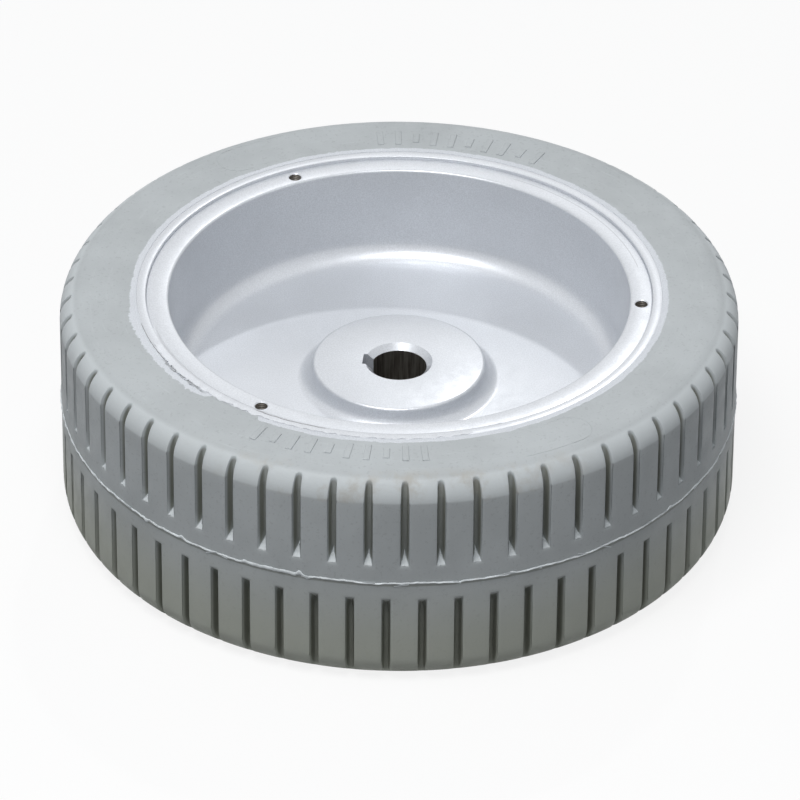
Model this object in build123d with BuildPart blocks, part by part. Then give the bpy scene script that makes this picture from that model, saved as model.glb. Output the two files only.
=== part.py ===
from build123d import *
import os

# A keyed drive wheel lying flat: +Z is the wheel's axis and points out of the dished side.
# The origin is the wheel's centre, on the tyre's parting line. All sizes are in millimetres.

# ---------------------------------------------------------------- driving dimensions
tyre_diameter = 230.0        # over the tread blocks
tyre_width = 80.0            # over the two side walls
shoulder_radius = 9.0        # round from tread to side wall, less where the rubber is thin
lip_width = 2.0              # sloping strip of rubber beside the band
lip_drop = 0.5               # how far the lip and the band stay below the side wall
flash_height = 0.5           # moulding flash left on the parting line
flash_width = 1.0            # at its root

grooves_per_row = 60
groove_width = 2.9           # at the tread
groove_floor_width = 1.9
groove_depth = 4.0
groove_floor_round = 0.6     # round along both edges of a groove's floor
groove_ramp = 5.0            # length of the slope at a groove's blind end
centre_land = 13.0           # plain rubber left between the two rows
first_groove_angle = -88.8   # degrees from +X, dished side's row

band_inner_diameter = 171.6  # pressed on the hub's rim
band_thickness = 3.2
band_edge_chamfer = 0.4
band_overhang = 1.0          # how far the band stands out of the rim, at each side

rim_wall = 7.65              # at the mouths of the two recesses
recess_draft = 1.5           # how much smaller the recess radius is at the web
recess_floor_round = 7.0
recess_mouth_round = 1.5
rim_edge_round = 0.5

web_front = 4.5              # height of the web's front face
web_thickness = 11.0
boss_diameter = 58.9
boss_draft = 0.6             # how much wider the boss radius is at the web
boss_root_round = 4.5
boss_edge_round = 1.0
boss_front = 11.0            # height of the boss's front face
bore_length = 40.0

bore_diameter = 19.0
bore_chamfer = 2.0
keyway_width = 6.0
keyway_depth = 2.8           # below the bore's wall
keyway_angle = 174.0         # degrees from +X

cover_hole_count = 3
cover_hole_diameter = 4.2    # tapping size of an M5 thread
cover_hole_depth = 14.0
cover_hole_mouth = 0.3       # chamfer
cover_hole_angle = 116.4     # degrees from +X, first hole

# ---------------------------------------------------------------- derived sizes
tread_radius = tyre_diameter / 2
side = tyre_width / 2
band_inner = band_inner_diameter / 2
band_outer = band_inner + band_thickness
band_width = tyre_width - 2 * lip_drop
hub_width = band_width - 2 * band_overhang
band_side = band_width / 2
hub_side = hub_width / 2
lip_outer = band_outer + lip_width
shoulder_round = min(shoulder_radius, (tread_radius - lip_outer) * 0.9)
recess_mouth = band_inner - rim_wall
recess_floor = recess_mouth - recess_draft
web_back = web_front - web_thickness
boss_radius = boss_diameter / 2
boss_root = boss_radius + boss_draft
boss_back = boss_front - bore_length
bore_radius = bore_diameter / 2
bore_mouth = bore_radius + bore_chamfer
cover_hole_circle = band_inner - rim_wall / 2
groove_pitch = 360 / grooves_per_row
groove_floor = tread_radius - groove_depth
groove_end = centre_land / 2

os.makedirs("parts", exist_ok=True)

# ---------------------------------------------------------------- wheel hub
# One iron casting: rim, web and boss. Each corner is (radius, height, round).
hub_corners = [
    (bore_radius, boss_front - bore_chamfer, 0),
    (bore_mouth, boss_front, 0),
    (boss_radius, boss_front, boss_edge_round),
    (boss_root, web_front, boss_root_round),
    (recess_floor, web_front, recess_floor_round),
    (recess_mouth, hub_side, recess_mouth_round),
    (band_inner, hub_side, rim_edge_round),
    (band_inner, -hub_side, rim_edge_round),
    (recess_mouth, -hub_side, recess_mouth_round),
    (recess_floor, web_back, recess_floor_round),
    (boss_root, web_back, boss_root_round),
    (boss_radius, boss_back, boss_edge_round),
    (bore_mouth, boss_back, 0),
    (bore_radius, boss_back + bore_chamfer, 0),
]
with BuildPart() as wheel_hub:
    with BuildSketch(Plane.XZ):
        with BuildLine():
            FilletPolyline(
                [(r, z) for r, z, _ in hub_corners],
                radius=[rounding for _, _, rounding in hub_corners],
                close=True,
            )
        make_face()
    revolve(axis=Axis.Z)

    # keyway, open at both ends of the bore
    with BuildSketch(Plane.XY.offset(boss_back)):
        with PolarLocations(0, 1, start_angle=keyway_angle):
            Rectangle(
                bore_radius + keyway_depth,
                keyway_width,
                align=(Align.MIN, Align.CENTER),
            )
    extrude(amount=bore_length, mode=Mode.SUBTRACT)

    # tapped holes for the cover's screws, in the middle of the rim's front face
    with Locations(Plane.XY.offset(hub_side)):
        with PolarLocations(cover_hole_circle, cover_hole_count, start_angle=cover_hole_angle):
            Hole(radius=cover_hole_diameter / 2, depth=cover_hole_depth)
    mouths = (
        wheel_hub.edges()
        .filter_by(GeomType.CIRCLE)
        .filter_by(lambda edge: abs(edge.radius - cover_hole_diameter / 2) < 0.01)
        .group_by(Axis.Z)[-1]
    )
    chamfer(mouths, length=cover_hole_mouth)

# ---------------------------------------------------------------- tyre band
# Steel ring that the rubber is moulded on, pressed over the rim, a little wider than it.
with BuildPart() as tyre_band:
    with BuildSketch(Plane.XY.offset(-band_side)):
        Circle(band_outer)
        Circle(band_inner, mode=Mode.SUBTRACT)
    extrude(amount=band_width)
    chamfer(tyre_band.edges().filter_by(GeomType.CIRCLE), length=band_edge_chamfer)

# ---------------------------------------------------------------- groove cutter
# One groove of the dished side's row, pointing along +X. Both of its outlines run on outside
# the tread at the same slopes, so that the cutter leaves the rubber cleanly.
clear = shoulder_radius / 2
half_floor = groove_floor_width / 2
half_outside = half_floor + (groove_width / 2 - half_floor) * (groove_depth + clear) / groove_depth
ramp_run_on = groove_ramp * clear / groove_depth
with BuildPart() as groove_cutter:
    # seen along the wheel's axis: sloping walls and a round-cornered floor
    with BuildSketch(Plane.XY):
        with BuildLine():
            FilletPolyline(
                (tread_radius + clear, half_outside),
                (groove_floor, half_floor),
                (groove_floor, -half_floor),
                (tread_radius + clear, -half_outside),
                radius=[0, groove_floor_round, groove_floor_round, 0],
                close=True,
            )
        make_face()
    extrude(amount=side + clear)

    # seen from the side: ramp at the blind end, level floor, open at the shoulder
    with BuildSketch(Plane.XZ):
        with BuildLine():
            Polyline(
                (groove_floor, groove_end + groove_ramp),
                (groove_floor, side + clear),
                (tread_radius + clear, side + clear),
                (tread_radius + clear, groove_end - ramp_run_on),
                close=True,
            )
        make_face()
    extrude(amount=half_outside, both=True, mode=Mode.INTERSECT)

# ---------------------------------------------------------------- rubber tyre
tyre_corners = [
    (band_outer, band_side, 0),
    (lip_outer, side, lip_width),
    (tread_radius, side, shoulder_round),
    (tread_radius, flash_width / 2, 0),
    (tread_radius + flash_height, flash_width / 8, 0),
    (tread_radius + flash_height, -flash_width / 8, 0),
    (tread_radius, -flash_width / 2, 0),
    (tread_radius, -side, shoulder_round),
    (lip_outer, -side, lip_width),
    (band_outer, -band_side, 0),
]
with BuildPart() as rubber_tyre:
    with BuildSketch(Plane.XZ):
        with BuildLine():
            FilletPolyline(
                [(r, z) for r, z, _ in tyre_corners],
                radius=[rounding for _, _, rounding in tyre_corners],
                close=True,
            )
        make_face()
    revolve(axis=Axis.Z)

    # dished side's row, then the far side's row half a pitch round
    with PolarLocations(0, grooves_per_row, start_angle=first_groove_angle):
        add(groove_cutter.part, mode=Mode.SUBTRACT)
    with PolarLocations(0, grooves_per_row, start_angle=first_groove_angle + groove_pitch / 2):
        add(mirror(groove_cutter.part, about=Plane.XY, mode=Mode.PRIVATE), mode=Mode.SUBTRACT)

# ---------------------------------------------------------------- labels and files
pieces = {"wheel_hub": wheel_hub, "tyre_band": tyre_band, "rubber_tyre": rubber_tyre}
for name, piece in pieces.items():
    piece.part.label = name
    export_step(piece.part, f"parts/{name}.step")
    print(name, round(piece.part.volume / 1000, 1), "cm3")
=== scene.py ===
# %% [markdown]
# # A dished drive wheel with a moulded rubber tyre
# The wheel lies flat with its dished side up. It is made of three pieces: an iron casting sprayed
# silver, a steel band pressed over the casting's rim, and a grey rubber tyre moulded on the band.
# Everything stands in the CAD model's own frame, in metres, with the wheel's axis along Z.

import math

import bmesh
import bpy
from mathutils import Matrix, Vector, noise


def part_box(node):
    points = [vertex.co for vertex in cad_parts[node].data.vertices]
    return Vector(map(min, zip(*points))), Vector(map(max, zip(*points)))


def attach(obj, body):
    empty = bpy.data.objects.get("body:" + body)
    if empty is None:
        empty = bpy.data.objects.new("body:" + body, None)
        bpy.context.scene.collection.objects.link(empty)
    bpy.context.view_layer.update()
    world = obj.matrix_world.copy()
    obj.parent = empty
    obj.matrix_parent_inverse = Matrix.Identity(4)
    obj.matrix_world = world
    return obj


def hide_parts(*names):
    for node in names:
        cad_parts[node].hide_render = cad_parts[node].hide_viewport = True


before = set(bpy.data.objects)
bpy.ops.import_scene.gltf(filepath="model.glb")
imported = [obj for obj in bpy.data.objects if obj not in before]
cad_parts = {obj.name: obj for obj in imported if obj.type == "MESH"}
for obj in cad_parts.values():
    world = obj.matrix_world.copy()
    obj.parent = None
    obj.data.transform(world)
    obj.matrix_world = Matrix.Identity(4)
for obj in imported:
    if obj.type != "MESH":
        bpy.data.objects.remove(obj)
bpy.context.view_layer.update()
print("CAD nodes:", sorted(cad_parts))

# %% [markdown]
# ## Sizes
# The overall sizes are read from the CAD nodes, so the looks always fit the construction. What the
# nodes' boxes can't tell, such as the depth of a recess, is named here once, in millimetres.

# %% Sizes
MM = 0.001
UP = Vector((0, 0, 1))

tyre_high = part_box("rubber_tyre")[1]
band_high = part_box("tyre_band")[1]
hub_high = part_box("wheel_hub")[1]

flash_height = 0.5 * MM
tread_radius = tyre_high.x - flash_height
side = tyre_high.z
band_outer = band_high.x
band_side = band_high.z
rim_radius = hub_high.x
hub_side = hub_high.z
boss_back = -29.0 * MM

for name, size in (("tread", tread_radius), ("band", band_outer), ("rim", rim_radius)):
    print(name, "radius", round(size / MM, 2))

# %% [markdown]
# ## A few helpers
# A modelling step by hand is always the same: pick one object, go into edit mode, select some
# faces or edges, run a tool. Selecting by place keeps the script readable: a face or an edge is
# described by its distance from the wheel's axis and its height.

# %% Helpers for selecting and editing
TINY = 0.02 * MM


def radius(point):
    return math.hypot(point.x, point.y)


def deselect():
    bpy.ops.object.select_all(action="DESELECT")


def pick(obj):
    deselect()
    obj.select_set(True)
    bpy.context.view_layer.objects.active = obj


def start_edit(obj, kind="FACE"):
    pick(obj)
    bpy.ops.object.mode_set(mode="EDIT")
    bpy.ops.mesh.select_mode(type=kind)
    bpy.ops.mesh.select_all(action="DESELECT")


def end_edit():
    bpy.ops.object.mode_set(mode="OBJECT")


def select_faces(obj, test):
    """Selects the faces whose centre and normal pass the test."""
    bm = bmesh.from_edit_mesh(obj.data)
    for face in bm.faces:
        face.select_set(test(face.calc_center_median(), face.normal))
    bmesh.update_edit_mesh(obj.data)


def select_edges(obj, test):
    """Selects the edges whose two ends both pass the test."""
    bm = bmesh.from_edit_mesh(obj.data)
    for edge in bm.edges:
        edge.select_set(all(test(vert.co) for vert in edge.verts))
    bmesh.update_edit_mesh(obj.data)


def select_verts(obj, test):
    """Selects the points that pass the test."""
    bm = bmesh.from_edit_mesh(obj.data)
    for vert in bm.verts:
        vert.select_set(test(vert.co))
    bm.select_flush_mode()
    bmesh.update_edit_mesh(obj.data)


def round_ring(obj, ring_radius, height, size, segments):
    """Bevels the circular edge at that radius and height."""
    start_edit(obj, "EDGE")
    select_edges(
        obj,
        lambda p: abs(radius(p) - ring_radius) < TINY and abs(p.z - height) < TINY,
    )
    bpy.ops.mesh.bevel(offset=size, segments=segments, affect="EDGES", clamp_overlap=False)
    end_edit()


def apply_modifier(obj, name):
    pick(obj)
    bpy.ops.object.modifier_apply(modifier=name)


def apply_place(obj):
    pick(obj)
    bpy.ops.object.transform_apply(location=True, rotation=True, scale=True)


def cut(obj, cutter):
    """Subtracts the cutter from obj and throws the cutter away."""
    modifier = obj.modifiers.new("cut", "BOOLEAN")
    modifier.operation = "DIFFERENCE"
    modifier.solver = "EXACT"
    modifier.object = cutter
    apply_modifier(obj, "cut")
    bpy.data.objects.remove(cutter)


def report(obj):
    obj.data.update()
    triangles = sum(len(face.vertices) - 2 for face in obj.data.polygons)
    print(obj.name, "triangles", triangles)


def join(pieces, name):
    """Joins the pieces to one object and prints its triangle count."""
    deselect()
    for piece in pieces:
        piece.select_set(True)
    bpy.context.view_layer.objects.active = pieces[0]
    bpy.ops.object.join()
    whole = bpy.context.active_object
    whole.name = name
    report(whole)
    return whole


# %% [markdown]
# ## The camera
# A long lens from far off, 34 degrees above the floor, keeps the circles close to true ellipses.
# It is aimed a little below the wheel's centre and turned by less than half a degree.

# %% Camera
camera_distance = 2.4286
camera_elevation = math.radians(33.94)
camera_roll = 0.0074
aim_point = Vector((0.0005, 0, -0.0050))

bpy.ops.object.camera_add()
camera = bpy.context.active_object
camera.name = "camera"
camera.data.sensor_width = 36
camera.data.lens = 320
camera.data.clip_end = 50
camera.location = camera_distance * Vector((0, -math.cos(camera_elevation), math.sin(camera_elevation)))
look = (aim_point - camera.location).to_track_quat("-Z", "Y")
camera.rotation_mode = "QUATERNION"
camera.rotation_quaternion = look @ Matrix.Rotation(camera_roll, 4, "Z").to_quaternion()
bpy.context.scene.camera = camera
print("camera at", [round(c, 3) for c in camera.location])

# %% [markdown]
# ## The hub casting
# The real hub is one iron casting: a rim, a thin web across it and a boss for the shaft. It is a
# shape of circles, so it could be a revolved outline. Here it starts as a plain cylinder instead,
# and both ends are shaped like a potter would: inset a ring, push it in, inset again, pull the
# boss up. That gives clean rings of four-sided faces, which bevel and shade well.

# %% Hub: rings
ROUND = 240
recess_mouth = rim_radius - 7.65 * MM
recess_floor = recess_mouth - 1.5 * MM
web_front = 4.5 * MM
web_back = web_front - 11.0 * MM
boss_radius = 29.45 * MM
boss_root = boss_radius + 0.6 * MM
boss_front = 11.0 * MM
bore_radius = 9.5 * MM
bore_chamfer = 2.0 * MM

bpy.ops.mesh.primitive_cylinder_add(vertices=ROUND, radius=rim_radius, depth=2 * hub_side)
hub = bpy.context.active_object
hub.name = "hub_casting"


def push(distance, old_radius, new_radius):
    """Extrudes the selected disc along Z and changes its radius."""
    bpy.ops.mesh.extrude_region_move(TRANSFORM_OT_translate={"value": (0, 0, distance)})
    ratio = new_radius / old_radius
    bpy.ops.transform.resize(value=(ratio, ratio, 1))


start_edit(hub, "FACE")
for end, web, boss_face in ((1, web_front, boss_front), (-1, web_back, boss_back)):
    bpy.ops.mesh.select_all(action="DESELECT")
    select_faces(hub, lambda p, n: n.z * end > 0.9 and abs(p.z - end * hub_side) < TINY)
    bpy.ops.mesh.inset(thickness=rim_radius - recess_mouth)
    push(web - end * hub_side, recess_mouth, recess_floor)
    bpy.ops.mesh.inset(thickness=recess_floor - boss_root)
    push(boss_face - web, boss_root, boss_radius)
    bpy.ops.mesh.inset(thickness=boss_radius - bore_radius - bore_chamfer)
    push(-end * bore_chamfer, bore_radius + bore_chamfer, bore_radius)
    bpy.ops.mesh.delete(type="ONLY_FACE")
bpy.ops.mesh.select_all(action="DESELECT")
bpy.ops.mesh.select_mode(type="EDGE")
bpy.ops.mesh.select_non_manifold()
bpy.ops.mesh.bridge_edge_loops()
bpy.ops.mesh.select_all(action="SELECT")
bpy.ops.mesh.normals_make_consistent(inside=False)
end_edit()

# %% [markdown]
# The casting has no sharp corner that sand could not hold. Each ring edge is bevelled with the
# radius of the real fillet, the large ones first.

# %% Hub: fillets
for height, web, boss_face in ((hub_side, web_front, boss_front), (-hub_side, web_back, boss_back)):
    round_ring(hub, recess_floor, web, 7.0 * MM, 12)
    round_ring(hub, boss_root, web, 4.5 * MM, 9)
    round_ring(hub, recess_mouth, height, 0.8 * MM, 4)
    round_ring(hub, boss_radius, boss_face, 1.0 * MM, 4)
    round_ring(hub, rim_radius, height, 0.5 * MM, 3)
report(hub)

# %% [markdown]
# ## Keyway and tapped holes
# The shaft drives the wheel through a key, so the bore has a slot in its wall. Three small tapped
# holes in the rim hold a cover. Both are cuts, and a cut is easiest as a Boolean with a cutter
# shaped like what is taken away. The holes' cutters are turned with rings like a thread's crests.

# %% Hub: keyway
keyway_width = 6.0 * MM
keyway_bottom = bore_radius + 2.8 * MM
keyway_angle = math.radians(174.0)

bpy.ops.mesh.primitive_cube_add(size=1)
key_cutter = bpy.context.active_object
key_cutter.scale = (keyway_bottom, keyway_width, 3 * side)
key_cutter.location = (keyway_bottom / 2, 0, 0)
apply_place(key_cutter)
key_cutter.rotation_euler.z = keyway_angle
apply_place(key_cutter)
cut(hub, key_cutter)

# %% Hub: tapped holes
hole_circle = (rim_radius + recess_mouth) / 2
hole_radius = 2.1 * MM
thread_radius = 2.5 * MM
thread_pitch = 0.8 * MM
hole_depth = 14.0 * MM
hole_angles = [math.radians(116.4 + 120 * k) for k in range(3)]
hole_places = [Vector((hole_circle * math.cos(a), hole_circle * math.sin(a), hub_side)) for a in hole_angles]
mouth_chamfer = 0.3 * MM


def hole_cutter(place):
    """A round bar with a chamfered mouth and a ring for each crest of the thread."""
    bpy.ops.mesh.primitive_cylinder_add(vertices=32, radius=hole_radius + mouth_chamfer, depth=MM)
    cutter = bpy.context.active_object
    cutter.location.z = MM / 2
    apply_place(cutter)
    start_edit(cutter, "FACE")
    select_faces(cutter, lambda p, n: n.z < -0.9)
    push(-mouth_chamfer, hole_radius + mouth_chamfer, hole_radius)
    for _ in range(int(hole_depth / thread_pitch)):
        push(-thread_pitch / 2, hole_radius, thread_radius)
        push(-thread_pitch / 2, thread_radius, hole_radius)
    end_edit()
    cutter.location = place
    apply_place(cutter)
    return cutter


for place in hole_places:
    cut(hub, hole_cutter(place))
pick(hub)
bpy.ops.object.shade_smooth_by_angle(angle=math.radians(35))
report(hub)

# %% [markdown]
# ## The band
# A steel ring carries the rubber. Only its two edges show, as a narrow ring standing one
# millimetre above the rim's face. A cylinder with its middle taken out and its edges softened
# is all it needs.

# %% Band
bpy.ops.mesh.primitive_cylinder_add(vertices=ROUND, radius=band_outer, depth=2 * band_side)
band = bpy.context.active_object
band.name = "press_on_band"
start_edit(band, "FACE")
for end in (1, -1):
    bpy.ops.mesh.select_all(action="DESELECT")
    select_faces(band, lambda p, n: n.z * end > 0.9 and abs(p.z - end * band_side) < TINY)
    bpy.ops.mesh.inset(thickness=band_outer - rim_radius)
    bpy.ops.mesh.delete(type="ONLY_FACE")
bpy.ops.mesh.select_all(action="DESELECT")
bpy.ops.mesh.select_mode(type="EDGE")
bpy.ops.mesh.select_non_manifold()
bpy.ops.mesh.bridge_edge_loops()
bpy.ops.mesh.select_all(action="SELECT")
bpy.ops.mesh.normals_make_consistent(inside=False)
end_edit()
for height in (band_side, -band_side):
    round_ring(band, rim_radius, height, 0.3 * MM, 3)
    round_ring(band, band_outer, height, 0.08 * MM, 2)
pick(band)
bpy.ops.object.shade_smooth_by_angle(angle=math.radians(35))
report(band)

# %% [markdown]
# ## The tyre, one pitch at a time
# The tread repeats sixty times round the wheel: one groove in the upper row, one in the lower row
# half a pitch further on. So only one pitch is modelled. Its outline is a rectangle with rounded
# corners, spun through six degrees. The grooves are cut out of that slice, their edges are
# rounded, and an Array turns it sixty times into a whole tyre.

# %% Tyre: outline of the section
grooves_per_row = 60
pitch = 2 * math.pi / grooves_per_row
first_groove = math.radians(-88.8)
slice_start = first_groove - pitch / 4
shoulder_radius = 9.0 * MM
mark_height = 0.4 * MM
side_wall = side - mark_height
seat_corner = 0.1 * MM

bpy.ops.mesh.primitive_plane_add(size=1, rotation=(math.pi / 2, 0, 0))
tyre = bpy.context.active_object
tyre.name = "moulded_tyre"
tyre.scale = (tread_radius - band_outer, side + side_wall, 1)
tyre.location = ((tread_radius + band_outer) / 2, 0, (side_wall - side) / 2)
apply_place(tyre)
start_edit(tyre, "VERT")
select_verts(tyre, lambda p: p.x > tread_radius - TINY)
bpy.ops.mesh.bevel(offset=shoulder_radius, segments=12, affect="VERTICES")
bpy.ops.mesh.select_all(action="DESELECT")
select_verts(tyre, lambda p: p.x < band_outer + TINY)
bpy.ops.mesh.bevel(offset=seat_corner, segments=2, affect="VERTICES")
bpy.ops.mesh.select_mode(type="EDGE")
select_edges(tyre, lambda p: p.x > tread_radius - TINY)
bpy.ops.mesh.subdivide(number_cuts=23)
select_edges(tyre, lambda p: p.z > side_wall - TINY)
bpy.ops.mesh.subdivide(number_cuts=7)
select_edges(tyre, lambda p: p.z < -side + TINY)
bpy.ops.mesh.subdivide(number_cuts=7)
bpy.ops.mesh.select_mode(type="FACE")
bpy.ops.mesh.select_all(action="SELECT")
bpy.ops.mesh.delete(type="ONLY_FACE")
end_edit()
tyre.rotation_euler.z = slice_start
apply_place(tyre)
print("outline points", len(tyre.data.vertices))

# %% Tyre: one slice
SAME_ANGLE = 1e-4  # radians within which a point counts as on a cap


def along(point):
    """Angle of a point round the axis, counted from the slice's start."""
    return (math.atan2(point.y, point.x) - slice_start + math.pi) % (2 * math.pi) - math.pi


start_edit(tyre, "EDGE")
bpy.ops.mesh.select_all(action="SELECT")
bpy.ops.mesh.spin(steps=4, angle=-pitch, center=(0, 0, 0), axis=(0, 0, 1))
for cap_angle in (0, pitch):
    bpy.ops.mesh.select_all(action="DESELECT")
    select_edges(tyre, lambda p: abs(along(p) - cap_angle) < SAME_ANGLE)
    bpy.ops.mesh.edge_face_add()
bpy.ops.mesh.select_all(action="SELECT")
bpy.ops.mesh.normals_make_consistent(inside=False)
end_edit()
print("slice from", round(math.degrees(min(along(v.co) for v in tyre.data.vertices)), 3),
      "to", round(math.degrees(max(along(v.co) for v in tyre.data.vertices)), 3), "degrees")

# %% Tyre: groove cutter
groove_width = 2.9 * MM
groove_floor_width = 1.9 * MM
groove_floor = tread_radius - 4.0 * MM
groove_end = 6.5 * MM
groove_ramp = 4.2 * MM
groove_bow = 2.4 * MM
floor_round = 0.92 * MM  # nearly half the floor, so the floor is round
point_share = 0.12  # share of the floor's width that is left at its pointed end
clear = 4.5 * MM
outside = tread_radius + clear
slope = (outside - groove_floor) / (tread_radius - groove_floor)
outside_width = groove_floor_width + (groove_width - groove_floor_width) * slope


def groove_cutter(angle, end):
    """A bar with a narrow, round floor that runs to a point at the foot of its ramp."""
    bpy.ops.mesh.primitive_cube_add(size=1)
    cutter = bpy.context.active_object
    low, high = groove_end + groove_ramp, side + clear
    cutter.scale = (outside - groove_floor, outside_width, high - low)
    cutter.location = ((outside + groove_floor) / 2, 0, (high + low) / 2)
    apply_place(cutter)
    start_edit(cutter, "FACE")
    select_faces(cutter, lambda p, n: n.x < -0.9)
    bpy.ops.transform.resize(value=(1, groove_floor_width / outside_width, 1))
    bpy.ops.mesh.select_mode(type="EDGE")
    select_edges(cutter, lambda p: p.x > outside - TINY and p.z < low + TINY)
    bpy.ops.transform.translate(value=(0, 0, -groove_ramp * slope))
    select_edges(cutter, lambda p: p.x < groove_floor + TINY and abs(p.y) > 0.1 * MM)
    bm = bmesh.from_edit_mesh(cutter.data)
    for edge in bm.edges:
        upright = abs(edge.verts[0].co.y - edge.verts[1].co.y) < TINY
        edge.select_set(edge.select and upright)
    bmesh.update_edit_mesh(cutter.data)
    bpy.ops.mesh.bevel(offset=floor_round, segments=4, affect="EDGES")
    bpy.ops.mesh.select_all(action="SELECT")
    bpy.ops.mesh.bisect(plane_co=(0, 0, low + groove_bow), plane_no=(0, 0, 1))
    bpy.ops.mesh.select_all(action="SELECT")
    bpy.ops.mesh.bisect(plane_co=(tread_radius - 0.1 * MM, 0, 0), plane_no=(1, 0, 0))
    bpy.ops.mesh.select_mode(type="VERT")
    select_verts(cutter, lambda p: p.x < groove_floor + 1.0 * MM and p.z < low + TINY)
    bpy.ops.transform.resize(value=(1, point_share, 1), center_override=(0, 0, 0))
    if end < 0:
        bpy.ops.mesh.select_all(action="SELECT")
        bpy.ops.transform.resize(value=(1, 1, -1), center_override=(0, 0, 0))
    bpy.ops.mesh.select_all(action="SELECT")
    bpy.ops.mesh.normals_make_consistent(inside=False)
    end_edit()
    cutter.rotation_euler.z = angle
    apply_place(cutter)
    return cutter


cut(tyre, groove_cutter(first_groove, 1))
cut(tyre, groove_cutter(first_groove + pitch / 2, -1))

# %% Tyre: open the slice and soften the groove edges
edge_round = 0.35 * MM
sharp_edge = math.radians(33)
rim_depth = 0.9 * MM  # how far below the surface an edge still counts as a rim


def near_surface(point):
    """True on the tyre's outside, whose shoulders are quarter circles."""
    over = max(0.0, abs(point.z) - side + shoulder_radius)
    surface = tread_radius - shoulder_radius + math.sqrt(max(0.0, shoulder_radius**2 - over**2))
    return radius(point) > surface - rim_depth


start_edit(tyre, "FACE")
bm = bmesh.from_edit_mesh(tyre.data)
for face in bm.faces:
    turns = [along(v.co) for v in face.verts]
    face.select_set(all(abs(t) < SAME_ANGLE or abs(t - pitch) < SAME_ANGLE for t in turns))
bmesh.update_edit_mesh(tyre.data)
bpy.ops.mesh.delete(type="FACE")
bpy.ops.mesh.select_mode(type="EDGE")
bpy.ops.mesh.select_all(action="DESELECT")
bpy.ops.mesh.edges_select_sharp(sharpness=sharp_edge)
bm = bmesh.from_edit_mesh(tyre.data)
for edge in bm.edges:
    edge.select_set(edge.select and all(near_surface(v.co) for v in edge.verts))
bmesh.update_edit_mesh(tyre.data)
bpy.ops.mesh.bevel(offset=edge_round, segments=2, affect="EDGES")
end_edit()
report(tyre)

# %% Tyre: sixty slices
bpy.ops.object.empty_add(rotation=(0, 0, pitch))
turn = bpy.context.active_object
array = tyre.modifiers.new("round", "ARRAY")
array.use_relative_offset = False
array.use_object_offset = True
array.offset_object = turn
array.count = grooves_per_row
array.use_merge_vertices = True
array.use_merge_vertices_cap = True
array.merge_threshold = TINY
apply_modifier(tyre, "round")
bpy.data.objects.remove(turn)
start_edit(tyre, "VERT")
bpy.ops.mesh.select_all(action="SELECT")
bpy.ops.mesh.remove_doubles(threshold=TINY)
bpy.ops.mesh.select_all(action="DESELECT")
bpy.ops.mesh.select_non_manifold()
open_verts = sum(v.select for v in bmesh.from_edit_mesh(tyre.data).verts)
end_edit()
pick(tyre)
bpy.ops.object.shade_smooth_by_angle(angle=math.radians(40))
print("open vertices in the tyre", open_verts)
report(tyre)

# %% [markdown]
# ## Parting flash
# The mould closes on the tyre's middle plane and leaves a thin skin of rubber there. It is a
# fin less than half a millimetre high. A torus has too few steps for kinks half a degree wide, so
# a small circle is spun round the axle instead, and its points are moved by smooth noise and at a
# few kinks until the ring is as uneven as torn rubber.

# %% Flash
FLASH_POINTS = 1440
KINK_WIDTH = 0.5
KINKS = {  # angle in degrees, and how far the flash jumps there
    -152.0: 0.5,
    -136.5: -0.8,
    -128.3: 0.7,
    -116.0: 0.6,
    -106.2: 1.0,
    -104.9: -0.7,
    -71.0: 0.5,
    -38.0: 0.6,
}
FOLD = (-116.0, -106.0)  # degrees between which the flash lies double
TORN = math.radians(-130)  # middle of the most torn stretch
flash_section = 0.48 * MM

bpy.ops.mesh.primitive_circle_add(
    vertices=8,
    radius=flash_section,
    location=(tread_radius, 0, 0),
    rotation=(math.pi / 2, 0, 0),
)
flash = bpy.context.active_object
flash.name = "parting_flash"
apply_place(flash)
start_edit(flash, "EDGE")
bpy.ops.mesh.select_all(action="SELECT")
bpy.ops.mesh.spin(steps=FLASH_POINTS, angle=2 * math.pi, center=(0, 0, 0), axis=(0, 0, 1))
bpy.ops.mesh.select_all(action="SELECT")
bpy.ops.mesh.remove_doubles(threshold=TINY)
bpy.ops.mesh.normals_make_consistent(inside=False)
end_edit()
for vert in flash.data.vertices:
    turn = math.atan2(vert.co.y, vert.co.x)
    place = Vector((math.cos(turn), math.sin(turn), 0))
    wave = (
        noise.noise(place * 9) * 0.5 + noise.noise(place * 24) * 0.3 + noise.noise(place * 60) * 0.2
    ) * MM
    standing = min(1.0, 0.8 + 0.6 * noise.noise(place * 45 + UP))
    height = max(0.0, radius(vert.co) - tread_radius) * standing
    inner = min(radius(vert.co), tread_radius)
    degrees = math.degrees(turn)
    bend = sum(
        jump * math.exp(-(((degrees - kink) / KINK_WIDTH) ** 2)) for kink, jump in KINKS.items()
    )
    folded = min(1.0, max(0.0, min(degrees - FOLD[0], FOLD[1] - degrees)))
    torn_side = max(0.0, math.cos(turn - TORN)) ** 3
    rough = noise.noise(place * 130) * 0.22 * MM * torn_side
    thick = 0.5 + 0.25 * torn_side + 0.6 * folded + 1.1 * abs(bend)
    vert.co = place * (inner + height) + UP * (vert.co.z * thick + wave + rough + bend * 0.8 * MM)
pick(flash)
bpy.ops.object.shade_smooth_by_angle(angle=math.radians(50))
report(flash)

# %% [markdown]
# ## Raised marks on the side wall
# A moulded tyre carries raised marks in two slots of its mould, opposite each other. Here they are
# plain bars and say nothing. Each is a flat box with soft upper edges, made once, copied along
# an arc and joined to one piece.

# %% Raised bars
bar_ring = 97.5 * MM
bar_step = math.radians(3.7)
bar_arcs = [math.radians(-101.5), math.radians(77.5)]
bars_per_arc = 10
bar_width = 2.2 * MM
bar_edge = 0.25 * MM


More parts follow.
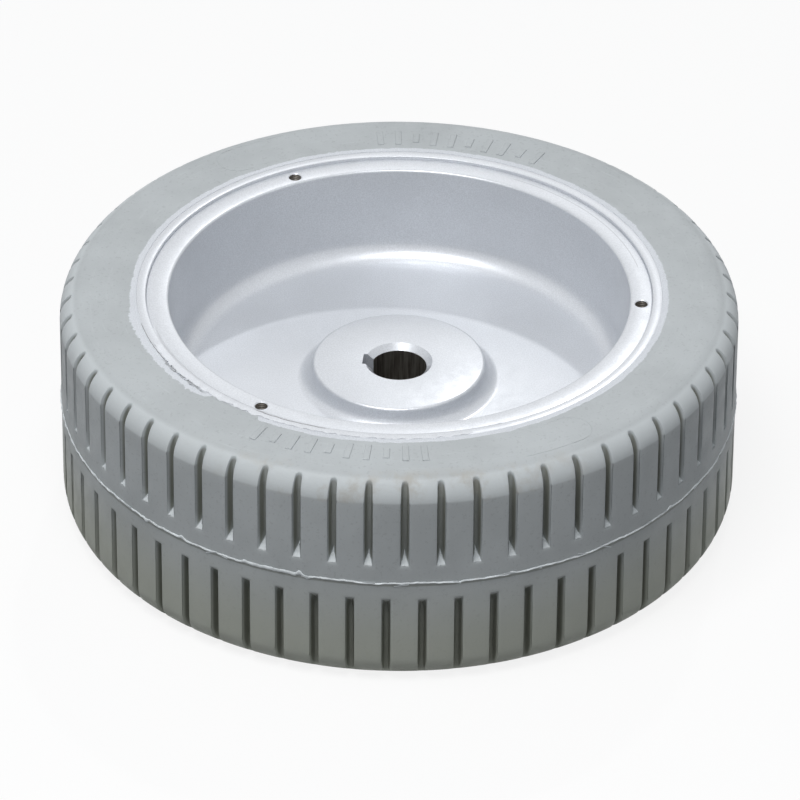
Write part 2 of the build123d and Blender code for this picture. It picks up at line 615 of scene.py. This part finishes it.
def raised_bar(angle, length):
    """A flat box on the side wall with soft upper edges."""
    bpy.ops.mesh.primitive_cube_add(size=1)
    bar = bpy.context.active_object
    thickness = mark_height + 0.6 * MM
    bar.scale = (length, bar_width, thickness)
    bar.location = (bar_ring, 0, side - thickness / 2)
    apply_place(bar)
    start_edit(bar, "EDGE")
    select_edges(bar, lambda p: p.z > side - TINY)
    bpy.ops.mesh.bevel(offset=bar_edge, segments=3, affect="EDGES")
    end_edit()
    bar.rotation_euler.z = angle
    apply_place(bar)
    return bar


bars = []
for middle in bar_arcs:
    for k in range(bars_per_arc):
        length = (5.5 if k % 3 == 1 else 8.5) * MM
        bars.append(raised_bar(middle + (k - (bars_per_arc - 1) / 2) * bar_step, length))
marks = join(bars, "side_marks")
pick(marks)
bpy.ops.object.shade_smooth_by_angle(angle=math.radians(35))

# %% [markdown]
# The bars sit in an insert of the mould, and the joint round the insert leaves a fine raised
# line. A curve follows the insert's outline, gets a round bevel and becomes a mesh.

# %% Insert lines
insert_inner = 93.0 * MM
insert_outer = 107.0 * MM
insert_middle = (insert_outer + insert_inner) / 2
insert_end = (insert_outer - insert_inner) / 2
line_width = 0.34 * MM
line_ends = [math.radians(-55.5), math.radians(124.5)]


def ring_point(ring, angle):
    return Vector((ring * math.cos(angle), ring * math.sin(angle), side_wall))


def insert_line(name, end_angle):
    """Half of a slot's outline: outer arc, round end, inner arc, thinning out at both ends."""
    centre = ring_point(insert_middle, end_angle)
    outward = Vector((math.cos(end_angle), math.sin(end_angle), 0))
    onward = Vector((-outward.y, outward.x, 0))
    steps = [math.radians(1.0 * k) for k in range(1, 13)]
    turns = [math.pi * k / 18 for k in range(19)]
    points = [ring_point(insert_outer, end_angle - step_shade) for step_shade in reversed(steps)]
    points += [centre + insert_end * (outward * math.cos(t) + onward * math.sin(t)) for t in turns]
    points += [ring_point(insert_inner, end_angle - step_shade) for step_shade in steps]
    curve = bpy.data.curves.new(name, "CURVE")
    curve.dimensions = "3D"
    curve.bevel_depth = line_width / 2
    curve.bevel_resolution = 1
    curve.use_fill_caps = True
    spline = curve.splines.new("POLY")
    spline.points.add(len(points) - 1)
    for k, point in enumerate(points):
        spline.points[k].co = (*(point - UP * line_width * 0.2), 1)
        spline.points[k].radius = 0.45 + 0.55 * math.sin(math.pi * k / (len(points) - 1))
    line = bpy.data.objects.new(name, curve)
    bpy.context.collection.objects.link(line)
    pick(line)
    bpy.ops.object.convert(target="MESH")
    bpy.ops.object.shade_smooth_by_angle(angle=math.radians(60))
    report(line)
    return line


insert_lines = [insert_line(f"insert_line_{k + 1}", angle) for k, angle in enumerate(line_ends)]

# %% [markdown]
# ## A torn skin of paint
# The hub was sprayed after the tyre was pressed on, so along one side a thick skin of paint
# bridges the step between the casting and the band. A cloth-like patch could be sculpted there,
# but the skin follows the ring, so it is an arc of a circle, extruded outwards over the step ring
# by ring. Noise tears its outer edge, it thins out at both ends, and Solidify gives it a wall.

# %% Paint skin
skin_from = math.radians(-167.0)
skin_to = math.radians(-66.0)
skin_fade = 0.16  # radians over which the skin thins out
skin_wall = 0.09 * MM
skin_rings = [(84.5, 38.49), (84.9, 38.68), (85.35, 39.0), (85.8, 39.40), (86.4, 39.54), (88.9, 39.57)]

bpy.ops.mesh.primitive_circle_add(vertices=1440, radius=skin_rings[0][0] * MM)
skin = bpy.context.active_object
skin.name = "paint_skin"
skin.location.z = skin_rings[0][1] * MM
apply_place(skin)
start_edit(skin, "VERT")
select_verts(skin, lambda p: not skin_from < math.atan2(p.y, p.x) < skin_to)
bpy.ops.mesh.delete(type="VERT")
bpy.ops.mesh.select_all(action="SELECT")
for (ring, height), (next_ring, next_height) in zip(skin_rings, skin_rings[1:]):
    bpy.ops.mesh.extrude_region_move(
        TRANSFORM_OT_translate={"value": (0, 0, (next_height - height) * MM)},
    )
    ratio = next_ring / ring
    bpy.ops.transform.resize(value=(ratio, ratio, 1), center_override=(0, 0, 0))
bpy.ops.mesh.select_all(action="SELECT")
bpy.ops.mesh.normals_make_consistent(inside=False)
end_edit()
for vert in skin.data.vertices:
    turn = math.atan2(vert.co.y, vert.co.x)
    place = Vector((math.cos(turn), math.sin(turn), 0))
    share = (radius(vert.co) / MM - skin_rings[0][0]) / (skin_rings[-1][0] - skin_rings[0][0])
    whole = min(1.0, (turn - skin_from) / skin_fade, (skin_to - turn) / skin_fade)
    whole = min(1.0, max(0.04, whole + 0.25 * noise.noise(place * 30) * (1 - whole)))
    ragged = (noise.noise(place * 40) * 0.9 + noise.noise(place * 150) * 0.55) * MM
    lumps = noise.noise(vert.co * 420) * 0.05 * MM
    vert.co += place * (ragged * share**3) + UP * (lumps * whole)
    start = place * (skin_rings[0][0] * MM) + UP * (skin_rings[0][1] * MM)
    vert.co = start.lerp(vert.co, whole)
solid = skin.modifiers.new("wall", "SOLIDIFY")
solid.thickness = skin_wall
solid.offset = 1
apply_modifier(skin, "wall")
pick(skin)
bpy.ops.object.shade_smooth_by_angle(angle=math.radians(50))
report(skin)

# %% [markdown]
# ## Flakes and shreds
# Where the skin has torn, flakes of paint stand up and catch the light, and the flash has a few
# torn shreds. They could be painted on, but only a real edge casts a shadow. Each is a small bent
# sheet: a plane, cut finer, curled by moving its points, with a thin wall. `chance` stands in for
# random numbers, so the flakes lie the same way every time.

# %% Flakes and shreds
FLAKES = 16
SHREDS = 18
flakes_from, flakes_arc = -152, 16  # degrees
shreds_from, shreds_arc = -156, 128


def chance(k, salt):
    """A repeatable number from 0 to 1."""
    return (math.sin(12.9898 * k + 78.233 * salt) * 43758.5453) % 1.0


def sheet(length, width, curl, thickness):
    """A thin strip along X, curled upwards, standing on z = 0."""
    bpy.ops.mesh.primitive_plane_add(size=1)
    strip = bpy.context.active_object
    strip.scale = (length, width, 1)
    apply_place(strip)
    start_edit(strip, "EDGE")
    bpy.ops.mesh.select_all(action="SELECT")
    bpy.ops.mesh.subdivide(number_cuts=3)
    end_edit()
    for vert in strip.data.vertices:
        along_strip = vert.co.x / length
        vert.co.y *= 1 - 0.5 * abs(along_strip)
        vert.co.z = curl * (along_strip + 0.5) ** 2
    solid = strip.modifiers.new("wall", "SOLIDIFY")
    solid.thickness = thickness
    solid.offset = 1
    apply_modifier(strip, "wall")
    return strip


strips = []
for k in range(FLAKES):
    turn = math.radians(flakes_from + flakes_arc * (k + 0.8 * chance(k, 1)) / FLAKES)
    ring = (88.7 + 1.3 * chance(k, 2)) * MM
    length = (0.8 + 1.1 * chance(k, 3)) * MM
    width = (0.5 + 0.6 * chance(k, 4)) * MM
    flake = sheet(length, width, curl=0.24 * MM, thickness=0.07 * MM)
    heading = turn + math.pi * (0.3 + 0.4 * chance(k, 5))
    flake.rotation_euler = (0.3 - 0.9 * chance(k, 11), -0.5 * chance(k, 12), heading)
    flake.location = (ring * math.cos(turn), ring * math.sin(turn), band_side + 0.7 * MM)
    apply_place(flake)
    too_high = max(0.0, max(v.co.z for v in flake.data.vertices) - side + 0.02 * MM)
    for vert in flake.data.vertices:
        vert.co.z -= too_high
    strips.append(flake)
flakes = join(strips, "paint_flakes")

strips = []
for k in range(SHREDS):
    turn = math.radians(shreds_from + shreds_arc * (k + 0.9 * chance(k, 6)) / SHREDS)
    length = (2.2 + 3.0 * chance(k, 7)) * MM
    width = (0.45 + 0.25 * chance(k, 8)) * MM
    shred = sheet(length, width, curl=0.2 * MM, thickness=0.12 * MM)
    shred.rotation_euler = (math.radians(90), math.radians(-28 + 56 * chance(k, 9)), math.radians(90))
    apply_place(shred)
    shred.location = (tread_radius + 0.08 * MM, 0, (chance(k, 10) - 0.6) * 1.2 * MM)
    apply_place(shred)
    shred.rotation_euler.z = turn
    apply_place(shred)
    strips.append(shred)
shreds = join(strips, "flash_shreds")

# %% [markdown]
# ## Materials
# The wheel has four finishes: sprayed silver, oiled steel in the bore, moulded rubber and the torn
# edges of paint and flash, where the paint's edges get a painted glint. Each is a node tree. The same
# few nodes come up again and again, so a small class gives them short names, and `polar` turns a
# place into a distance from the axle, an angle and a height, because everything that wears or gets
# dirty on a wheel does so in rings.

# %% Colours and short names for nodes
RUBBER = (0.51, 0.54, 0.553)
SILVER = (0.655, 0.68, 0.72)
OLIVE_AND_SHADE = (0.45, 0.465, 0.385)
DIRT = (0.47, 0.455, 0.415)
SHADE_GREY = (0.20, 0.205, 0.17)
CRACK_AND_STEP_SHADE = (0.10, 0.10, 0.11)
OPEN_CRACK = (0.12, 0.12, 0.12)
OIL = (0.07, 0.06, 0.05)
STEEL = (0.2, 0.19, 0.17)


class Nodes:
    """Short names for building a node tree."""

    def __init__(self, name):
        self.material = bpy.data.materials.new(name)
        self.material.use_nodes = True
        self.tree = self.material.node_tree
        self.shader = self.tree.nodes["Principled BSDF"]
        coordinate = self.tree.nodes.new("ShaderNodeTexCoord")
        self.place = coordinate.outputs["Object"]

    def link(self, source, target):
        if isinstance(source, bpy.types.NodeSocket):
            self.tree.links.new(source, target)
        else:
            target.default_value = source

    def noise(self, scale, detail=3.0, rough=0.55, place=None):
        node = self.tree.nodes.new("ShaderNodeTexNoise")
        self.link(place or self.place, node.inputs["Vector"])
        node.inputs["Scale"].default_value = scale
        node.inputs["Detail"].default_value = detail
        node.inputs["Roughness"].default_value = rough
        return node.outputs["Fac"]

    def math(self, operation, *values):
        node = self.tree.nodes.new("ShaderNodeMath")
        node.operation = operation
        for socket, value in zip(node.inputs, values):
            self.link(value, socket)
        return node.outputs[0]

    def fade(self, value, low, high, to_low=0.0, to_high=1.0):
        """Smooth step from to_low to to_high while value goes from low to high."""
        node = self.tree.nodes.new("ShaderNodeMapRange")
        node.interpolation_type = "SMOOTHSTEP"
        self.link(value, node.inputs["Value"])
        node.inputs["From Min"].default_value = low
        node.inputs["From Max"].default_value = high
        node.inputs["To Min"].default_value = to_low
        node.inputs["To Max"].default_value = to_high
        return node.outputs["Result"]

    def mix(self, share, first, second):
        node = self.tree.nodes.new("ShaderNodeMix")
        node.data_type = "RGBA"
        self.link(share, node.inputs["Factor"])
        for value, socket in ((first, node.inputs["A"]), (second, node.inputs["B"])):
            self.link(value if isinstance(value, bpy.types.NodeSocket) else (*value, 1), socket)
        return node.outputs["Result"]

    def polar(self):
        """Distance from the wheel's axis, angle round it, and height."""
        split = self.tree.nodes.new("ShaderNodeSeparateXYZ")
        self.link(self.place, split.inputs[0])
        x, y, z = split.outputs
        squares = self.math("ADD", self.math("POWER", x, 2.0), self.math("POWER", y, 2.0))
        return self.math("SQRT", squares), self.math("ARCTAN2", y, x), z

    def window(self, value, low, high, soft):
        """1 while value lies between low and high, fading over soft at both ends."""
        rise = self.fade(value, low - soft, low + soft)
        fall = self.fade(value, high - soft, high + soft, 1.0, 0.0)
        return self.math("MULTIPLY", rise, fall)

    def together(self, x, y, z):
        node = self.tree.nodes.new("ShaderNodeCombineXYZ")
        for value, socket in zip((x, y, z), node.inputs):
            self.link(value, socket)
        return node.outputs[0]

    def bump(self, height, strength, distance):
        node = self.tree.nodes.new("ShaderNodeBump")
        self.link(height, node.inputs["Height"])
        node.inputs["Strength"].default_value = strength
        node.inputs["Distance"].default_value = distance
        self.link(node.outputs[0], self.shader.inputs["Normal"])


def shade(color, factor):
    return tuple(c * factor for c in color)


def silver_color(nodes, gain=1.0):
    """Sprayed paint: fine grain with clouds a few centimetres wide."""
    grain = nodes.fade(nodes.noise(2200, 2.0), 0.3, 0.7)
    clouds = nodes.fade(nodes.noise(45, 4.0), 0.3, 0.7)
    fine = nodes.mix(grain, shade(SILVER, 0.90 * gain), shade(SILVER, 1.06 * gain))
    return nodes.mix(nodes.math("MULTIPLY", clouds, 0.35), fine, shade(SILVER, 0.86 * gain))


# %% [markdown]
# ## Silver paint
# Aluminium paint is half metal and half dust: a base with some Metallic, a fine grain in its
# colour, faint clouds where the spray gun passed twice, and a thin clear coat on top for the sharp
# glints on the round corners. A hair crack follows the rim as a thin dark ring, and a second thin
# ring between 12 and 62 degrees is painted shade along a small step in the rim's face.

# %% Silver paint
paint = Nodes("silver_paint")
ring, angle, height = paint.polar()


def thin_line(nodes, ring, angle, line_ring, wobble, half_width, start, stop):
    """A fine line round the axis at line_ring, between two angles in degrees."""
    centre = nodes.math("MULTIPLY_ADD", nodes.noise(300, 3.0), wobble, line_ring)
    away = nodes.math("ABSOLUTE", nodes.math("SUBTRACT", ring, centre))
    line = nodes.fade(away, half_width * 1.6, half_width * 0.8)
    return nodes.math("MULTIPLY", line, nodes.window(angle, math.radians(start), math.radians(stop), 0.02))


on_face = paint.math("GREATER_THAN", height, hub_side - 0.2 * MM)
crack = thin_line(paint, ring, angle, 86.0 * MM, 0.9 * MM, 0.16 * MM, -123, -106)
# painted shade: a thin dark ring along a small step in the rim's face, on the far side only
step_shade = thin_line(paint, ring, angle, 83.0 * MM, 0.1 * MM, 0.14 * MM, 12, 62)
cracks_and_step_shade = paint.math("ADD", paint.math("MULTIPLY", crack, 0.85), paint.math("MULTIPLY", step_shade, 0.3))
cracks_and_step_shade = paint.math("MULTIPLY", cracks_and_step_shade, on_face)
sprayed = paint.mix(cracks_and_step_shade, silver_color(paint), CRACK_AND_STEP_SHADE)
paint.link(sprayed, paint.shader.inputs["Base Color"])
paint.shader.inputs["Metallic"].default_value = 0.36
paint.shader.inputs["Coat Weight"].default_value = 0.6
paint.shader.inputs["Coat Roughness"].default_value = 0.14
paint.shader.inputs["Coat IOR"].default_value = 1.6
paint.link(paint.fade(paint.noise(300, 3.0), 0.3, 0.7, 0.33, 0.41), paint.shader.inputs["Roughness"])
paint.bump(paint.noise(1600, 3.0), 0.14, 0.0002)
silver = paint.material
print("silver_paint nodes", len(paint.tree.nodes))

# %% [markdown]
# ## Flakes with a painted glint, and oiled steel
# The flakes of broken paint get a paler copy of the silver, which is a painted glint. The bore and
# the tapped holes were plugged while the hub was sprayed, so they show dark, oiled steel with fine
# marks along the bore.

# %% Flakes of broken paint with a painted glint
chip = Nodes("glint_paint")
# painted glint: the flakes are a paler copy of the silver
glinting_silver = chip.mix(chip.noise(900, 3.0), shade(SILVER, 1.25), shade(SILVER, 1.36))
chip.link(glinting_silver, chip.shader.inputs["Base Color"])
chip.shader.inputs["Roughness"].default_value = 0.3
glint_paint = chip.material

# %% Bare steel inside the bore
bare = Nodes("oiled_steel")
ring, angle, height = bare.polar()
along_bore = bare.together(bare.math("MULTIPLY", angle, 9.0), bare.math("MULTIPLY", height, 60.0), ring)
grain = bare.noise(1.0, 4.0, 0.6, along_bore)
oily = bare.mix(bare.fade(grain, 0.3, 0.7), OIL, STEEL)
bare.link(oily, bare.shader.inputs["Base Color"])
bare.shader.inputs["Metallic"].default_value = 0.6
bare.shader.inputs["Roughness"].default_value = 0.4
oiled_steel = bare.material
print("oiled_steel nodes", len(bare.tree.nodes))

# %% [markdown]
# ## Grey rubber
# Non-marking rubber is a flat, slightly cloudy grey with fine specks. Low down it turns darker and
# olive, which is painted shade with an olive tint. Streaks run round the side wall, because the mould
# was turned on a lathe. The tree starts with the clean rubber and lays painted shade, a painted
# highlight, dirt and paint over it, one mask each.

# %% Grey rubber: clean surface
rub = Nodes("grey_rubber")
ring, angle, height = rub.polar()
clouds = rub.fade(rub.noise(30, 5.0), 0.3, 0.7)
clean = rub.mix(clouds, shade(RUBBER, 1.05), shade(RUBBER, 0.94))
turned = rub.together(rub.math("MULTIPLY", ring, 900.0), rub.math("MULTIPLY", angle, 7.0), height)
streaks = rub.noise(1.0, 5.0, 0.6, turned)
clean = rub.mix(rub.fade(streaks, 0.55, 0.75, 0.0, 0.5), clean, shade(RUBBER, 1.15))
specks = rub.fade(rub.noise(900, 2.0), 0.30, 0.42, 1.0, 0.0)
clean = rub.mix(rub.math("MULTIPLY", specks, 0.25), clean, shade(RUBBER, 0.6))
# painted shade: darker and olive towards the bottom, with an olive tint
low_shade_and_olive = rub.fade(height, 0.005, -0.03)
body = rub.mix(rub.math("MULTIPLY", low_shade_and_olive, 0.7), clean, OLIVE_AND_SHADE)

# %% Grey rubber: painted highlight on the shoulder, and dirt
on_tread = rub.fade(ring, 105 * MM, 108 * MM)
# painted highlight: a lighter band round the tread's shoulder
shoulder_highlight = rub.window(height, 31.6 * MM, 38.5 * MM, 0.5 * MM)
body = rub.mix(rub.math("MULTIPLY", rub.math("MULTIPLY", shoulder_highlight, on_tread), 0.8), body, shade(RUBBER, 1.28))
dirt_place = rub.window(angle, math.radians(-118), math.radians(-62), 0.25)
dirt = rub.math("MULTIPLY", dirt_place, rub.window(height, 31 * MM, 39.3 * MM, 0.8 * MM))
dirt = rub.math("MULTIPLY", dirt, rub.fade(rub.noise(90, 5.0, 0.65), 0.46, 0.7, 0.0, 0.75))
body = rub.mix(rub.math("MULTIPLY", dirt, on_tread), body, DIRT)

# %% [markdown]
# A groove is found by its depth below the tread's surface, which follows the round shoulder. Its
# floor and walls get painted shade. The ramp at its blind end gets a painted highlight instead.

# %% Grey rubber: grooves
upper = rub.math("GREATER_THAN", height, 0.0)
over = rub.math("MULTIPLY_ADD", upper, mark_height, rub.math("ABSOLUTE", height))
over = rub.math("MAXIMUM", rub.math("SUBTRACT", over, side - shoulder_radius), 0.0)
left = rub.math("SUBTRACT", shoulder_radius**2, rub.math("POWER", over, 2.0))
surface = rub.math("ADD", rub.math("SQRT", rub.math("MAXIMUM", left, 0.0)), tread_radius - shoulder_radius)
depth = rub.math("SUBTRACT", surface, ring)
turns = rub.math("MULTIPLY", rub.math("SUBTRACT", angle, first_groove), 1 / pitch)
turns = rub.math("SUBTRACT", rub.math("MULTIPLY_ADD", upper, 0.5, turns), 0.5)
across = rub.math("ABSOLUTE", rub.math("SUBTRACT", turns, rub.math("ROUND", turns)))
across = rub.math("MULTIPLY", rub.math("MULTIPLY", across, pitch), ring)
reach = rub.math("DIVIDE", rub.math("SUBTRACT", groove_end + groove_ramp, height), groove_ramp)
reach = rub.math("MULTIPLY_ADD", reach, groove_width / 2, 0.1 * MM)
# painted highlight on the ramp at each upper groove's blind end
ramp_highlight = rub.fade(rub.math("SUBTRACT", across, reach), 0.12 * MM, -0.12 * MM)
ramp_highlight = rub.math("MULTIPLY", rub.math("MULTIPLY", ramp_highlight, upper), rub.fade(height, 13 * MM, 11 * MM))
ramp_highlight = rub.math("MULTIPLY", rub.math("MULTIPLY", ramp_highlight, on_tread), rub.fade(depth, 0.1 * MM, 0.5 * MM))
# painted shade in the grooves, stronger on their walls than on their floor
deep = rub.math("MULTIPLY", rub.fade(depth, 0.6 * MM, 1.9 * MM), rub.fade(ring, 106.2 * MM, 107.4 * MM))
groove_shade = rub.math("MULTIPLY", deep, rub.math("SUBTRACT", 1.0, ramp_highlight))
groove_shade = rub.math("MULTIPLY", groove_shade, rub.fade(across, 0.5 * MM, 1.1 * MM, 0.55, 0.85))
body = rub.mix(groove_shade, body, SHADE_GREY)
body = rub.mix(ramp_highlight, body, shade(RUBBER, 1.3))
# painted shadow in a band just below the flash
shadow_below_flash = rub.math("MULTIPLY", rub.window(height, -1.25 * MM, -0.35 * MM, 0.2 * MM), on_tread)
body = rub.mix(rub.math("MULTIPLY", shadow_below_flash, 0.5), body, SHADE_GREY)

# %% Grey rubber: silver overspray round the band, with painted sheen and painted shadow
thick = rub.window(angle, math.radians(-172), math.radians(-136), 0.06)
peeled = rub.window(angle, math.radians(-134), math.radians(-121), 0.015)
ragged = rub.math("MULTIPLY", rub.noise(420, 4.0, 0.7), rub.math("MULTIPLY_ADD", thick, 2.6 * MM, 1.5 * MM))
edge = rub.math("MULTIPLY_ADD", rub.noise(45, 6.0, 0.7), 2.4 * MM, 89.1 * MM)
edge = rub.math("ADD", edge, ragged)
edge = rub.math("MULTIPLY_ADD", peeled, -3.0 * MM, edge)
spray = rub.fade(rub.math("SUBTRACT", ring, edge), 0.25 * MM, -0.25 * MM)
spray = rub.math("MULTIPLY", spray, rub.math("GREATER_THAN", height, 38 * MM))
# painted sheen: the overspray is the hub's paint, made 1.14 times brighter to stand in for its metal and
# coat
body = rub.mix(spray, body, silver_color(rub, 1.14))
crack = thin_line(rub, ring, angle, 88.85 * MM, 0.5 * MM, 0.13 * MM, -166, -139)
body = rub.mix(rub.math("MULTIPLY", crack, 0.8), body, OPEN_CRACK)
# painted shadow: a dark line on the rubber under the torn paint's flakes
shadow_under_flakes = thin_line(rub, ring, angle, 88.2 * MM, 2.8 * MM, 0.34 * MM, -151, -136)
body = rub.mix(rub.math("MULTIPLY", shadow_under_flakes, 0.7), body, shade(RUBBER, 0.55))
rub.link(body, rub.shader.inputs["Base Color"])
rub.link(rub.fade(rub.noise(200, 3.0), 0.3, 0.7, 0.5, 0.68), rub.shader.inputs["Roughness"])
rub.shader.inputs["Specular IOR Level"].default_value = 0.3
rub.bump(rub.math("ADD", rub.noise(1100, 4.0), rub.math("MULTIPLY", spray, 0.4)), 0.25, 0.0002)
rubber = rub.material
print("grey_rubber nodes", len(rub.tree.nodes))

# %% [markdown]
# ## Torn rubber
# The flash is thin and was torn off, and stretched rubber turns pale, so it gets its own lighter
# grey instead of one more mask in the tree above.

# %% Torn rubber of the flash
torn = Nodes("torn_rubber")
stretched = torn.mix(torn.fade(torn.noise(250, 4.0), 0.3, 0.7), shade(RUBBER, 1.15), shade(RUBBER, 1.5))
torn.link(stretched, torn.shader.inputs["Base Color"])
torn.shader.inputs["Roughness"].default_value = 0.55
torn.bump(torn.noise(900, 3.0), 0.3, 0.0002)
torn_rubber = torn.material
print("torn_rubber nodes", len(torn.tree.nodes))

# %% [markdown]
# ## Finishes on the pieces
# Every piece gets its material in slot 1. The hub needs two, so the faces in the bore and in the
# holes are picked by their place and moved to slot 2. Then each piece is tied to the frame.

# %% Paint the pieces
finishes = {
    silver: [hub, band, skin],
    glint_paint: [flakes],
    rubber: [tyre, marks, *insert_lines],
    torn_rubber: [flash, shreds],
}
for material, pieces in finishes.items():
    for piece in pieces:
        piece.data.materials.clear()
        piece.data.materials.append(material)
hub.data.materials.append(oiled_steel)
start_edit(hub, "FACE")
bore_faces = 0
bm = bmesh.from_edit_mesh(hub.data)
for face in bm.faces:
    upright = abs(face.normal.z) < 0.3
    in_bore = upright and all(radius(v.co) < keyway_bottom + 0.3 * MM for v in face.verts)
    below_face = all(v.co.z < hub_side - 0.25 * MM for v in face.verts)
    middle = face.calc_center_median()
    away = min(math.hypot(middle.x - hole.x, middle.y - hole.y) for hole in hole_places)
    near_hole = away < thread_radius + 0.1 * MM
    bare_face = in_bore or (near_hole and below_face)
    face.select_set(bare_face)
    bore_faces += bare_face
bmesh.update_edit_mesh(hub.data)
hub.active_material_index = 1
bpy.ops.object.material_slot_assign()
end_edit()
print("bare faces in the bore and the holes", bore_faces)

# %% The pieces stand for the CAD nodes
slots = {
    "hub_paint": [hub, skin, flakes],
    "band_steel": [band],
    "tyre_rubber": [tyre, flash, shreds, marks, *insert_lines],
}
for slot, pieces in slots.items():
    for piece in pieces:
        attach(piece, "root")
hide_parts("wheel_hub")
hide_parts("tyre_band")
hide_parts("rubber_tyre")

# %% [markdown]
# ## Light
# Two lamps are enough for a studio look. A weak sun from behind, a little to the right, lays the
# shadow of the rim into the recess. A large square lamp overhead lights everything else softly
# and gives the round corners their long highlights.

# %% Light
bpy.ops.object.light_add(type="SUN")
key = bpy.context.active_object
key.name = "key"
key.data.energy = 0.28
key.data.angle = math.radians(2.5)
key.rotation_mode = "QUATERNION"
key.rotation_quaternion = Vector((0.13, 0.72, 0.68)).to_track_quat("Z", "Y")

bpy.ops.object.light_add(type="AREA", location=(-0.25, -0.46, 1.52))
top = bpy.context.active_object
top.name = "softbox"
top.data.shape = "SQUARE"
top.data.size = 0.8
top.data.energy = 16.5
top.rotation_mode = "QUATERNION"
top.rotation_quaternion = top.location.to_track_quat("Z", "Y")
print("sun", round(key.data.energy, 2), "softbox", round(top.data.energy, 2), "watts")


def add_nodes(tree, *kinds):
    """New shader nodes of those kinds, in that order."""
    return [tree.nodes.new("ShaderNode" + kind) for kind in kinds]


def seen_directly(tree):
    """1 for rays that come from the camera or by way of gloss or glass."""
    path, first, second = add_nodes(tree, "LightPath", "Math", "Math")
    for node, socket in ((first, "Is Glossy Ray"), (second, "Is Transmission Ray")):
        node.operation = "MAXIMUM"
        tree.links.new(path.outputs[socket], node.inputs[1])
    tree.links.new(path.outputs["Is Camera Ray"], first.inputs[0])
    tree.links.new(first.outputs[0], second.inputs[0])
    return second.outputs[0]


# %% [markdown]
# ## World and floor
# The room is white to the camera and in reflections, but lights the wheel with a much weaker grey,
# so the pale paint keeps its tone. Light Path tells the two kinds of ray apart. The floor does
# the same: mostly white to the camera, it keeps the wheel's soft shadow.

# %% World
ROOM_GREY = (0.24, 0.25, 0.26, 1)
ROOM_WHITE = (1, 1, 1, 1)

world = bpy.data.worlds.new("studio")
bpy.context.scene.world = world
world.use_nodes = True
tree = world.node_tree
ambient = tree.nodes["Background"]
ambient.inputs["Color"].default_value = ROOM_GREY
white, mix = add_nodes(tree, "Background", "MixShader")
white.inputs["Color"].default_value = ROOM_WHITE
tree.links.new(seen_directly(tree), mix.inputs[0])
tree.links.new(ambient.outputs[0], mix.inputs[1])
tree.links.new(white.outputs[0], mix.inputs[2])
tree.links.new(mix.outputs[0], tree.nodes["World Output"].inputs["Surface"])
print("world nodes", len(tree.nodes))

# %% Floor
FLOOR_LIT = (0.26, 0.26, 0.26, 1)
FLOOR_SEEN = (0.98, 0.98, 0.98, 1)
glow_share = 0.85
floor_gap = 0.2 * MM

bpy.ops.mesh.primitive_plane_add(size=6, location=(0, 0, -side - floor_gap))
floor = bpy.context.active_object
floor.name = "floor"
paper = bpy.data.materials.new("floor")
paper.use_nodes = True
tree = paper.node_tree
bsdf = tree.nodes["Principled BSDF"]
bsdf.inputs["Roughness"].default_value = 0.9
tone, = add_nodes(tree, "Mix")
tone.data_type = "RGBA"
tone.inputs["A"].default_value = FLOOR_LIT
tone.inputs["B"].default_value = FLOOR_SEEN
tree.links.new(seen_directly(tree), tone.inputs["Factor"])
tree.links.new(tone.outputs["Result"], bsdf.inputs["Base Color"])
glow, share, mix = add_nodes(tree, "Emission", "Math", "MixShader")
share.operation = "MULTIPLY"
share.inputs[1].default_value = glow_share
tree.links.new(seen_directly(tree), share.inputs[0])
tree.links.new(share.outputs[0], mix.inputs[0])
tree.links.new(bsdf.outputs[0], mix.inputs[1])
tree.links.new(glow.outputs[0], mix.inputs[2])
tree.links.new(mix.outputs[0], tree.nodes["Material Output"].inputs["Surface"])
floor.data.materials.append(paper)
print("floor at", round(floor.location.z / MM, 2), "mm")

# %% [markdown]
# ## Colour management
# The view is set to Standard, so a colour shows as it is written. The visual model has to stay
# inside the construction.

# %% Colour management
bpy.context.scene.view_settings.view_transform = "Standard"
